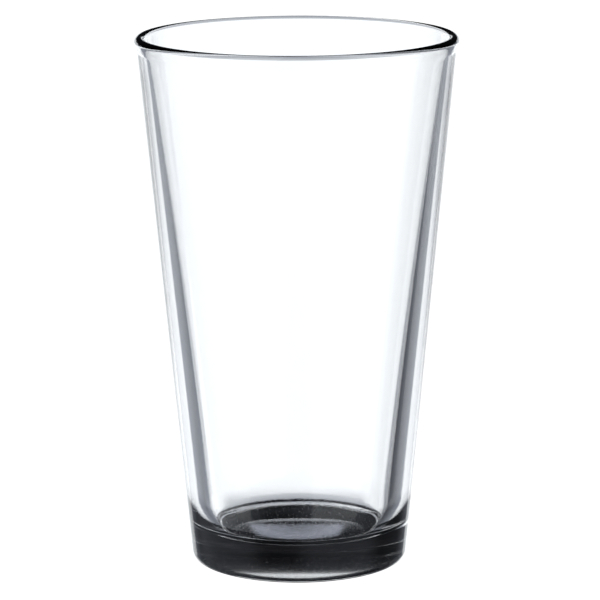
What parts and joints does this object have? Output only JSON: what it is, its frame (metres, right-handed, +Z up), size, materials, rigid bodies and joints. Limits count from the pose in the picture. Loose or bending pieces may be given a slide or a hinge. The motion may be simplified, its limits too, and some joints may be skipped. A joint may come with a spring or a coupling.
{
  "type": "pint glass",
  "caption": "Straight-sided conical drinking glass with a thickened, slightly flared lip, walls that thicken downward and a thick solid base with a shallow hollow underneath.",
  "frame": {"origin": "on the glass's axis, in the plane that its foot stands on", "axes": "+Z up along the glass's axis, from the foot to the open rim; X and Y are alike, because the glass is round"},
  "size_m": [0.09, 0.09, 0.1492],
  "materials": {
    "glass": "clear, fire-polished"
  },
  "bodies": {
    "root": {"tumbler": "glass"}
  },
  "joints": []
}
